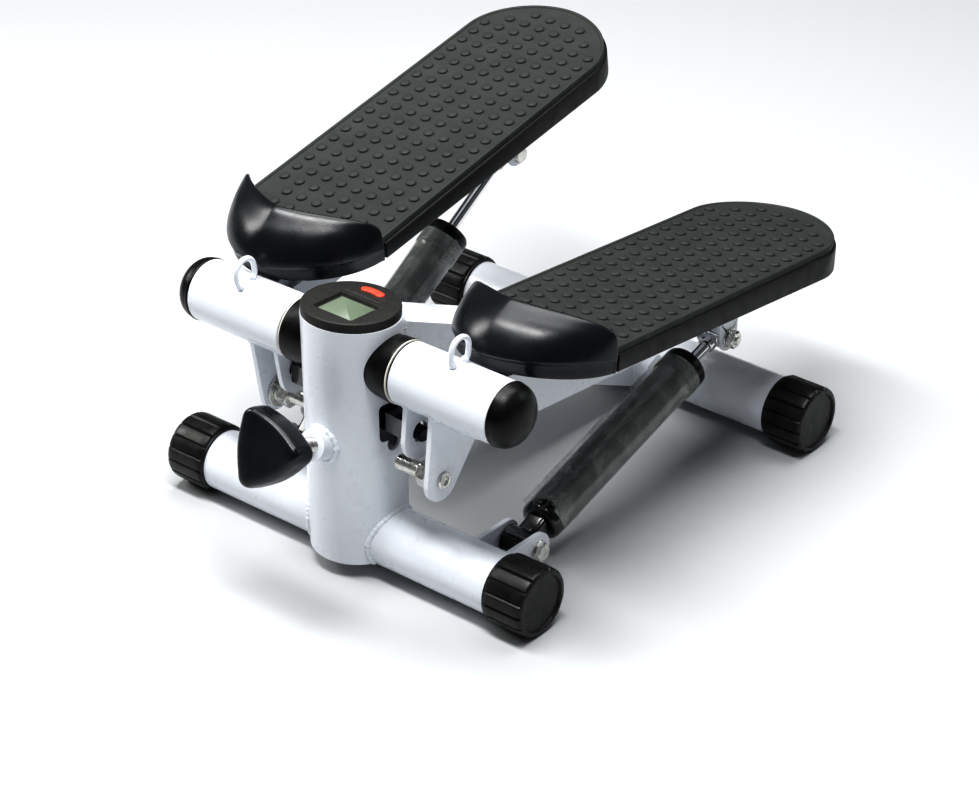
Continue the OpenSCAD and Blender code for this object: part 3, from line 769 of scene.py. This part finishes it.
def bracket_bolt(side):
    """Long bolt through the bracket: a round recessed head, and nuts on its inner side."""
    name = SIDE_NAME[side]
    inner, outer, drop = BRACKET_IN, BRACKET_OUT, BOLT_DROP
    head = [(6.6, 0), (6.8, 0.4), (6.8, 2.0), (6.2, 2.8), (4.4, 3.0), (3.6, 2.6), (3.3, 1.2), (0, 1.0)]

    def along_bolt(x):
        return facing_x(x, 0, -drop)

    parts = [
        moved(revolve(head, 48), along_bolt(outer)),
        moved(threaded(6, inner - 49.5), along_bolt(inner) @ turn(math.pi, "X")),
        moved(washer(13.5, 2.4, 5.5), along_bolt(inner - 2.6)),
        moved(washer(9.5, 2.4, 5.5), along_bolt(inner - 5.2)),
        moved(hexagon(19, 9.5, 1.2, True), along_bolt(inner - 15.2)),
    ]
    bolt(name + "_bracket_bolt_set", at_pedal(side), name + "_pedal", name + "_bracket_bolt",
         "zinc_steel", parts)


def upper_bolt(side):
    name = SIDE_NAME[side]
    low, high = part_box(name + "_upper_ears")
    x = abs(low[0] + high[0]) / 2 / MM
    out = abs(high[0] - low[0]) / 2 / MM

    def along_bolt(u):
        return facing_x(x + u, UP_BOLT_V, UP_BOLT_W)

    parts = [
        moved(revolve([(4, -out), (4, out)], 40), along_bolt(0)),
        moved(washer(8.5, 1.3, 3.5), along_bolt(out)),
        moved(hexagon(13, 6.2, 0.9, True), along_bolt(out + 1.2)),
        moved(threaded(4, 9, 1.25, 0.35), along_bolt(out)),
        moved(hexagon(13, 5.2), along_bolt(-out) @ turn(math.pi, "X")),
    ]
    bolt(name + "_upper_bolt_set", at_pedal(side), name + "_pedal", name + "_upper_bolt",
         "zinc_steel", parts)


def lower_bolts():
    parts = []
    out = LOWER_BOLT_HALF
    for side in (RIGHT, LEFT):
        pin = Vector(JOINTS[SIDE_NAME[side] + "_barrel_hinge"]["pos_m"])
        here = Matrix.Translation(pin) @ grown() @ mirrored(side)
        parts += [
            moved(revolve([(4, -out), (4, out)], 40), here @ facing_x(0, 0, 0)),
            moved(washer(8.5, 1.3, 3.5), here @ facing_x(out, 0, 0)),
            moved(hexagon(13, 4.7), here @ facing_x(out + 1.2, 0, 0)),
            moved(hexagon(13, 6.2, 0.9, True), here @ facing_x(-out - 6.3, 0, 0)),
            moved(threaded(4, 8, 1.25, 0.35), here @ facing_x(-out, 0, 0) @ turn(math.pi, "X")),
        ]
    make("lower_bolt_set", joined(*parts), Matrix.Identity(4), ZINC, "frame", ["lower_bolts"],
         35)


# ---------------------------------------------------------------- frame details

def end_cap(node, half):
    """Ribbed cap: sixteen wide panels with narrow grooves, a lip and a raised rim on its face."""
    low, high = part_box(node)
    side = RIGHT if low[0] > 0 else LEFT
    mid = Vector((0, (low[1] + high[1]) / 2, FRONT_TUBE.z))
    outer = CAP_RADIUS
    groove = math.tau / CAP_GROOVES
    stations = [(0.0, 24.2, 0), (0.0, 25.3, 0), (0.4, 25.8, 0), (2.0, 25.8, 0), (2.3, 26.4, 1),
                (3.0, 27.2, 1), (4.2, outer, 1), (10, outer, 1), (18, outer, 1), (26, outer, 1),
                (33.0, outer, 1), (35.0, 27.1, 1), (36.3, 26.2, 1), (37.0, 24.8, 0),
                (37.0, 22.8, 0), (36.2, 22.2, 0), (35.4, 21.8, 0), (35.3, 12, 0), (35.2, 0, 0)]
    rings = []
    for x, r, ribbed in stations:
        ring = []
        for i in range(256):
            t = math.tau * i / 256
            here = r
            if ribbed:
                off = abs((t + groove / 2) % groove - groove / 2) * outer
                here -= 1.25 * max(0.0, 1 - max(0.0, off - 0.35) / 0.75)
            y, z = here * math.sin(t), here * math.cos(t)
            if 4 <= x <= 35 and abs(y) < CAP_FOOT and z < 0:
                z = -outer
            ring.append((x, y, z))
        rings.append(ring)
    here = Matrix.Translation(mid) @ grown() @ mirrored(side) @ shift(half, 0, 0)
    make(node + "_moulding", loft(rings), here, CAP, "frame", [node], 38)


def saddle_dome(side):
    """Boot that fits round the post, with a neck where the white ring sits."""
    rim, r, h, full = PIVOT_IN - 2.6, PIVOT_R + 0.7, 40, 2.4
    around, steps = 96, 22
    meridians = []
    for i in range(around):
        t = math.tau * i / around
        depth = 0.0
        while depth < h:
            here = r * (1 - (depth / h) ** full) ** (1 / full)
            if (rim - depth) ** 2 + (here * math.cos(t)) ** 2 < (POST_R + 0.05) ** 2:
                break
            depth += 0.05
        line = [(rim + 2.2, (r - 1.9) * math.cos(t), (r - 1.9) * math.sin(t)),
                (rim + 0.1, (r - 1.6) * math.cos(t), (r - 1.6) * math.sin(t)),
                (rim, (r - 0.4) * math.cos(t), (r - 0.4) * math.sin(t))]
        for k in range(1, steps + 1):
            d = depth * (k / steps)
            flare = 0.25 * math.exp(-((depth - d) / 0.8) ** 2)
            here = r * (1 - (d / h) ** full) ** (1 / full) + flare
            line.append((rim - d, here * math.cos(t), here * math.sin(t)))
        meridians.append(line)
    rings = [[m[k] for m in meridians] for k in range(steps + 3)]
    return moved(loft(rings, ends=False), Matrix.Translation(PIVOT) @ grown() @ mirrored(side))


def bead(path, size=2.2, closed=False, seed=1):
    """A weld bead: a bar along path whose width follows the ripples of the torch."""
    rng = random.Random(seed)
    rough = [rng.uniform(0.88, 1.12) for _ in range(len(path))]

    def width(i):
        return size * MM * (1 + 0.16 * math.sin(i * 1.9)) * rough[i]
    return sweep(path, width, 10, closed)


def along(points, step=0.9):
    """The same line with points every step millimetres."""
    points = [Vector(p) for p in points]
    out = []
    for a, b in zip(points, points[1:]):
        count = max(1, int((b - a).length / MM / step))
        out += [a.lerp(b, k / count) for k in range(count)]
    return out + [points[-1]]


def post_weld(seed):
    """Where the front cross tube enters the post, on one side."""
    path = []
    for t in spread(0, math.tau, 150)[:-1]:
        y = TUBE_R * math.sin(t)
        path.append(Vector((math.sqrt(POST_R ** 2 - y * y), y, TUBE_R * math.cos(t))) * MM)
    path = [p for p in path if p.z > -0.014]
    start = max(range(len(path)), key=lambda k: (path[k] - path[k - 1]).length)
    path = path[start:] + path[:start]
    return bead(along(path), 2.3, False, seed)


def beam_edge(x, top):
    """A point where the beam's top or bottom meets the post."""
    y = math.sqrt(POST_R ** 2 - x * x)
    z = (BEAM_TOP if top else BEAM_BOTTOM) - BEAM_SLOPE * y
    return Vector((x, y, z)) * MM


def frame_welds():
    half = BEAM_HALF
    here = Matrix.Translation(POST)
    tube = Matrix.Translation(Vector((POST.x, POST.y, FRONT_TUBE.z)))
    loop = [beam_edge(x, True) for x in spread(-half, half, 24)]
    loop += [beam_edge(x, False) for x in spread(half, -half, 24)]
    loop.append(loop[0])
    parts = [moved(post_weld(3), tube), moved(post_weld(4), tube @ mirrored(-1)),
             moved(bead(along(loop), 1.7, False, 5), here)]
    boss = []
    knob = at_knob()
    for t in spread(0, math.tau, 60)[:-1]:
        x, y = 12.6 * math.cos(t), 12.6 * math.sin(t)
        p = knob @ Vector((x, y, 0))
        gap = math.sqrt(max(0, (POST_R * MM) ** 2 - (p.x - POST.x) ** 2))
        way = (knob.to_3x3() @ Vector((0, 0, 1))).normalized()
        move = (POST.y - gap - p.y) / way.y
        boss.append(p + way * move)
    parts.append(bead(boss, 2.6, True, 6))
    rear = Vector((POST.x, REAR_TUBE.y, REAR_TUBE.z))
    for sign in (-1, 1):
        arc = [rear + Vector((sign * half, -TUBE_R * math.cos(t), TUBE_R * math.sin(t))) * MM
               for t in spread(math.radians(-38), math.radians(74), 30)]
        parts.append(bead(along(arc), 1.7, False, 7 + sign))
    top = rear + Vector((0, -TUBE_R * math.cos(math.radians(74)),
                         TUBE_R * math.sin(math.radians(74)))) * MM
    line = [top + Vector((x, 0, 0)) * MM for x in (-half, half)]
    parts.append(bead(along(line), 1.7, False, 9))
    for side in (-1, 1):
        for x in EAR_FACES:
            arc = [Vector((POST.x + side * x * MM,
                           POST.y + TUBE_R * MM * math.cos(t),
                           FRONT_TUBE.z + TUBE_R * MM * math.sin(t)))
                   for t in spread(math.radians(-44), math.radians(29), 24)]
            parts.append(bead(along(arc), 1.1, False, int(x)))
    make("frame_welds", joined(*parts), Matrix.Identity(4), PAINT, "frame", (),
         60)


def pedal_welds(side):
    """Beads where the bracket plates and the arm meet the pivot tube."""
    name = SIDE_NAME[side]
    parts = []
    for x, low, high in ((88, -134, -12), (92, -134, -12), (64, -134, -32), (68, -134, -32)):
        arc = [Vector((x, PIVOT_R * math.cos(t), PIVOT_R * math.sin(t)))
               for t in spread(math.radians(low), math.radians(high), 40)]
        arc = [at_pedal(side) @ p for p in arc]
        parts.append(bead(along(arc), 1.0, False, x))
    seam = 7.0
    y = math.sqrt(PIVOT_R ** 2 - seam * seam)
    line = [at_pedal(side) @ Vector((x, y + 0.4, seam + 1)) for x in (96, 121)]
    parts.append(bead(along(line), 1.6, False, 21))
    make(name + "_pedal_welds", joined(*parts), Matrix.Identity(4), PAINT, name + "_pedal", (),
         60)


# ---------------------------------------------------------------- cylinders

def barrel(side):
    """Rolled barrel with a round foot, a folded-in shoulder and a forked eye."""
    name = SIDE_NAME[side]
    tube = [(9, 21.5), (14.5, 22.8), (16.2, 24.2), (17, 27), (17, 31), (16.5, 32.2), (16.5, 33.2),
            (17, 34.4), (17, 150), (17, 205), (14, 207), (9, 207.4)]
    eye = revolve([(4.1, -12.3), (10.4, -12.3), (11, -11.7), (11, 11.7), (10.4, 12.3),
                   (4.1, 12.3)], 56)
    neck = []
    for z, a, b in ((2, 8.4, 7.0), (9, 8.6, 7.0), (16, 8.6, 7.4), (22.4, 9.2, 9.2)):
        neck.append([(a * math.copysign(abs(math.cos(t)) ** 0.4, math.cos(t)),
                      b * math.copysign(abs(math.sin(t)) ** 0.4, math.sin(t)), z)
                     for t in spread(0, math.tau, 40)[:-1]])
    part = joined(revolve(tube, 72), moved(eye, facing_x(0, 0, 0)), loft(neck))
    make(name + "_barrel_tube", part, at_cylinder(side), BARREL, name + "_barrel",
         [name + "_barrel"], 40)


def gland_cap(side):
    """Top cap with a rounded shoulder and a wiper lip round the rod."""
    name = SIDE_NAME[side]
    profile = [(17.0, 0), (18.0, 0), (18.3, 0.4), (18.3, 17.5), (17.9, 19.6), (16.6, 21.4),
               (14.6, 22.3), (9.5, 22.6), (8.6, 23.2), (7.6, 24.0), (5.6, 24.0), (5.0, 23.2),
               (4.8, 21.0)]
    make(name + "_gland", revolve(profile, 72), at_cylinder(side) @ shift(0, 0, GLAND_AT), DOME,
         name + "_barrel", [name + "_gland_cap"], 50)


def film(side):
    """Loose clear sleeve on the barrel, wrinkled, with a flat fin and a ragged lower end."""
    name = SIDE_NAME[side]
    around, steps = 120, 150
    rings = []
    for j in range(steps + 1):
        ring = []
        for i in range(around):
            t = math.tau * i / around
            end = FILM_START + 5 * noise.noise(Vector((math.cos(t) * 1.6, math.sin(t) * 1.6, side * 3.0)))
            z = end + (FILM_END - end) * j / steps
            crumple = noise.noise(Vector((math.cos(t) * 2.2, math.sin(t) * 2.2, z * 0.05)))
            fine = noise.noise(Vector((math.cos(t) * 7, math.sin(t) * 7, z * 0.16 + 5)))
            loose = 0.35 + 0.65 * math.exp(-((z - 45) / 22) ** 2) + 0.5 * math.exp(
                -((z - 196) / 14) ** 2)
            r = FILM_R + loose * max(0.0, 0.8 * crumple + 0.5 * fine)
            if z > FILM_FLARE_AT:
                r = max(r, FILM_FLARE_R)
            r += FIN * math.exp(-((t - FIN_AT) / FIN_WIDTH) ** 2) * (0.8 + 0.25 * crumple)
            ring.append((r * math.cos(t), r * math.sin(t), z))
        rings.append(ring)
    make(name + "_film_sleeve", loft(rings, ends=False), at_cylinder(side), FILM,
         name + "_barrel", (), 180)


def rod(side):
    """Chromed rod with a pressed-on eye."""
    name = SIDE_NAME[side]
    low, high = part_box(name + "_rod")
    start = at_cylinder(side).inverted()
    gap = (start @ Vector(((low[0] + high[0]) / 2, centre(name + "_upper_bolt").y,
                           centre(name + "_upper_bolt").z))).z
    shaft = revolve([(ROD_R, gap - 124), (ROD_R, gap - 16)], 40)
    collar = revolve([(ROD_R, gap - 17), (6.6, gap - 16.2), (7.0, gap - 15.5), (7.0, gap - 8)], 40)
    h = ROD_EYE_HALF
    eye = revolve([(5.75, -h), (9.6, -h), (ROD_EYE_R, -6.9), (ROD_EYE_R, 6.9), (9.6, h),
                   (5.75, h)], 56)
    piston = revolve([(0.1, gap - 125), (13.2, gap - 125), (13.2, gap - 113.4),
                      (4.4, gap - 113.4)], 48)
    make(name + "_rod_chrome", joined(shaft, collar, moved(eye, facing_x(0, 0, gap)), piston),
         at_cylinder(side), CHROME, name + "_rod", [name + "_rod"], 40)


# ---------------------------------------------------------------- display

def arc_points(r, mid, half, count=24):
    return [(r * math.sin(a), r * math.cos(a)) for a in spread(mid - half, mid + half, count)]


def kidney(t):
    """Outline of the reset button, a bar bent round the display's middle, inset by t."""
    r, w, half = RESET_R, RESET_HALF_W - t, RESET_HALF_ANGLE
    line = arc_points(r + w, 0, half)
    line += [(r * math.sin(half) + w * math.sin(half + a), r * math.cos(half) + w * math.cos(half + a))
             for a in spread(0, math.pi, 12)[1:-1]]
    line += list(reversed(arc_points(r - w, 0, half)))
    line += [(-r * math.sin(half) + w * math.sin(a - half),
              r * math.cos(half) + w * math.cos(a - half))
             for a in spread(math.pi, math.tau, 12)[1:-1]]
    return line


def reset_button():
    levels = [(0.2, -4), (0.0, -3.8), (0.0, 0.2), (0.15, 0.6), (0.6, 0.9), (1.3, 1.0), (2.3, 1.03)]
    rings = [[(x, y, z) for x, y in kidney(t)] for t, z in levels]
    make("reset_button_cap", loft(rings), at_display(), RED, "reset_button", ["reset_button"],
         50)


def display():
    """Housing with a round shoulder; the window pocket and the button well are cut into it."""
    rim = POST_R - 0.7
    side = [(rim - 1.9, -16), (rim - 1.9, -7.6), (rim - 0.5, -7.6), (rim, -7.1), (rim, -1.6),
            (rim - 0.25, -0.7), (rim - 0.9, -0.15), (rim - 1.8, 0)]
    body = bmesh.new()
    verts, faces = revolve(side, 128)
    made = [body.verts.new(v) for v in verts]
    for face in faces:
        body.faces.new([made[i] for i in face])
    mesh = bpy.data.meshes.new("display_block")
    body.to_mesh(mesh)
    body.free()
    piece = bpy.data.objects.new("display_block", mesh)
    bpy.context.scene.collection.objects.link(piece)

    def rounded(window, t, r, z):
        """Corners of a window, inset by t, rounded by r, at height z."""
        x0, y0, x1, y1 = window[0] + t, window[1] + t, window[2] - t, window[3] - t
        points = []
        for cx, cy, start in ((x1 - r, y1 - r, 0), (x0 + r, y1 - r, 1), (x0 + r, y0 + r, 2),
                              (x1 - r, y0 + r, 3)):
            for a in spread(start * math.pi / 2, (start + 1) * math.pi / 2, 6):
                points.append((cx + r * math.cos(a), cy + r * math.sin(a), z))
        return points

    cuts = [
        loft([rounded(POCKET, 0, 1.6, 3), rounded(POCKET, 0, 1.6, 0.2),
              rounded(POCKET, 0.4, 1.4, -0.3), rounded(POCKET, 1.1, 1.2, -2.4)]),
        loft([rounded(WINDOW, 0, 1.0, 1), rounded(WINDOW, 0, 1.0, -4)]),
        loft([[(x, y, z) for x, y in kidney(-0.45)] for z in (-6, 3)]),
    ]
    piece.data.transform(at_display())
    for cut in cuts:
        verts, faces = moved(cut, at_display())
        tool_mesh = bpy.data.meshes.new("cut")
        tool_mesh.from_pydata(verts, [], faces)
        tidy = bmesh.new()
        tidy.from_mesh(tool_mesh)
        bmesh.ops.recalc_face_normals(tidy, faces=tidy.faces)
        tidy.to_mesh(tool_mesh)
        tidy.free()
        tool = bpy.data.objects.new("cut", tool_mesh)
        bpy.context.scene.collection.objects.link(tool)
        carve = piece.modifiers.new("cut", "BOOLEAN")
        carve.operation = "DIFFERENCE"
        carve.solver = "EXACT"
        carve.object = tool
        bpy.context.view_layer.update()
        seen = piece.evaluated_get(bpy.context.evaluated_depsgraph_get())
        cut_mesh = bpy.data.meshes.new_from_object(seen)
        piece.modifiers.clear()
        piece.data = cut_mesh
        bpy.data.objects.remove(tool)
    brow = []
    for t, z in ((0, -0.3), (0, 0.3), (0.5, 0.65), (1.2, 0.8)):
        outer = [(x, y - 11) for x, y in arc_points(29 - t, 0, math.radians(38) - t * 0.03, 32)]
        floor = 29 * math.cos(math.radians(38)) - 11 + t * 0.8
        brow.append([(x, max(y, floor), z) for x, y in outer])
    verts, faces = loft(brow)
    mesh = piece.data
    mesh.materials.clear()
    mesh.materials.append(HOUSING)
    mesh.polygons.foreach_set("use_smooth", [True] * len(mesh.polygons))
    mesh.set_sharp_from_angle(angle=math.radians(35))
    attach(piece, "frame")
    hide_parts("display_housing")
    make("display_brow", (verts, faces), at_display(), HOUSING, "frame", (), 40)
    glass = [rounded(WINDOW, 0, 1.0, z) for z in (-4, -2.9)]
    glass.append(rounded(WINDOW, 0.4, 0.8, -2.5))
    make("display_lcd", loft(glass), at_display(), LCD, "frame", ["display_window"],
         40)


# ---------------------------------------------------------------- knob

def knob_outline(t):
    """Three round corners joined by bulging sides, inset by t."""
    reach, corner, bulge, half = 33.4, 9.4, 2.9, math.radians(56)
    turns = [math.radians(120 * k + 11) for k in range(4)]

    def on_corner(k, b):
        mid = Vector((math.cos(turns[k]), math.sin(turns[k]))) * (reach - corner)
        a = turns[k] + b
        return mid + Vector((math.cos(a), math.sin(a))) * (corner - t)

    points = []
    for k in range(3):
        points += [on_corner(k, b) for b in spread(-half, half, 14)]
        out = Vector((math.cos(turns[k] + math.pi / 3), math.sin(turns[k] + math.pi / 3)))
        for s in spread(0, 1, 12)[1:-1]:
            points.append(on_corner(k, half).lerp(on_corner(k + 1, -half), s)
                          + out * bulge * math.sin(math.pi * s))
    return points


def knob():
    levels = [(9, 0.6), (3.0, 0.0), (1.4, 0.5), (0.5, 1.8), (0.0, 4.2), (0.0, 9), (0.1, 14),
              (0.5, 17.6), (1.3, 19.8), (2.6, 21.2), (4.4, 21.9), (9.5, 22.0)]
    rings = []
    for t, z in levels:
        share = 0.6 if t >= 9 else 1.0
        rings.append([(p.x * share, p.y * share, KNOB_BACK + z)
                      for p in knob_outline(4 if t >= 9 else t)])
    make("knob_moulding", loft(rings), at_knob(), GUARD, "knob", ["knob_head"],
         60, 1)
    collar = revolve([(r, KNOB_BACK + z) for r, z in ((5.6, -3.6), (8.6, -3.2), (9.4, -2),
                                                      (9.6, 0.4), (5.6, 0.6))], 48)
    shank = moved(threaded(5.95, 60, 1.75, 0.6, 32), shift(0, 0, -8))
    make("knob_screw", joined(shank, collar), at_knob(), ZINC, "knob",
         ["knob_shank"], 35)


# ---------------------------------------------------------------- stage

def area_light(name, place, aim, size, power, colour=(1, 1, 1)):
    data = bpy.data.lights.new(name, "AREA")
    data.shape = "RECTANGLE"
    data.size, data.size_y = size
    data.energy = power
    data.color = colour
    light = bpy.data.objects.new(name, data)
    bpy.context.scene.collection.objects.link(light)
    light.location = place
    light.rotation_euler = (Vector(aim) - Vector(place)).to_track_quat("-Z", "Y").to_euler()
    return light


def stage():
    mesh = bpy.data.meshes.new("floor")
    build = bmesh.new()
    bmesh.ops.create_grid(build, x_segments=8, y_segments=8, size=6)
    build.to_mesh(mesh)
    build.free()
    floor = bpy.data.objects.new("floor", mesh)
    bpy.context.scene.collection.objects.link(floor)
    mesh.materials.append(floor_paint())
    world = bpy.data.worlds.new("studio")
    world.use_nodes = True
    world.node_tree.nodes["Background"].inputs["Color"].default_value = (0.94, 0.97, 1.0, 1)
    world.node_tree.nodes["Background"].inputs["Strength"].default_value = 0.09
    bpy.context.scene.world = world
    aim = POST + Vector((0, 0.12, 0.12))  # the middle of the machine
    area_light("key", POST + Vector((-1.5, -0.5, 1.2)), aim, (0.5, 0.9), 14, (1, 0.99, 0.97))
    area_light("strip", POST + Vector((0.0, -0.25, 1.8)), aim, (1.5, 0.25), 30)
    area_light("top", POST + Vector((-0.1, 0.7, 1.9)), aim, (1.6, 0.9), 24)
    area_light("back", POST + Vector((1.5, 1.9, 1.1)), aim, (0.8, 0.8), 5, (0.93, 0.96, 1.0))


def camera():
    """At the viewing angle of the reference: direction, roll, distance and framing."""
    azimuth, elevation, roll = math.radians(39.65), math.radians(31.34), math.radians(-0.74)
    distance = 2.4733
    aside, above = 0.00428, -0.02408
    target = POST + Vector((0, 0.150, 0.0976))
    right = Vector((math.cos(azimuth), math.sin(azimuth), 0))
    back = Vector((math.sin(azimuth) * math.cos(elevation),
                   -math.cos(azimuth) * math.cos(elevation), math.sin(elevation)))
    up = back.cross(right)
    rolled_right = right + up * math.sin(roll)
    rolled_right.normalize()
    rolled_up = back.cross(rolled_right)
    data = bpy.data.cameras.new("camera")
    data.sensor_width = 36
    data.lens = 116.94
    data.clip_end = 30
    eye = bpy.data.objects.new("camera", data)
    bpy.context.scene.collection.objects.link(eye)
    place = target + back * distance + rolled_right * aside + rolled_up * above
    turned = Matrix((rolled_right, rolled_up, back)).transposed().to_4x4()
    eye.matrix_world = Matrix.Translation(place) @ turned
    bpy.context.scene.camera = eye


camera()
stage()
for pedal_side in (RIGHT, LEFT):
    toe_guard(pedal_side)
    tread(pedal_side)
    pedal_base(pedal_side)
    tube_cap(pedal_side)
    band_eye(pedal_side)
    bracket_bolt(pedal_side)
    upper_bolt(pedal_side)
    pedal_welds(pedal_side)
    barrel(pedal_side)
    gland_cap(pedal_side)
    film(pedal_side)
    rod(pedal_side)
lower_bolts()
for cap_side in ("right", "left"):
    end_cap("cap_front_" + cap_side, FRONT_CAP_X)
for cap_side in ("right", "left"):
    end_cap("cap_rear_" + cap_side, REAR_CAP_X)
make("saddle_boots", joined(saddle_dome(RIGHT), saddle_dome(LEFT)), Matrix.Identity(4), DOME,
     "frame", ["saddle_domes"], 50)
frame_welds()
display()
reset_button()
knob()
bpy.context.scene.view_settings.view_transform = "Standard"
bpy.context.scene.view_settings.look = "High Contrast"
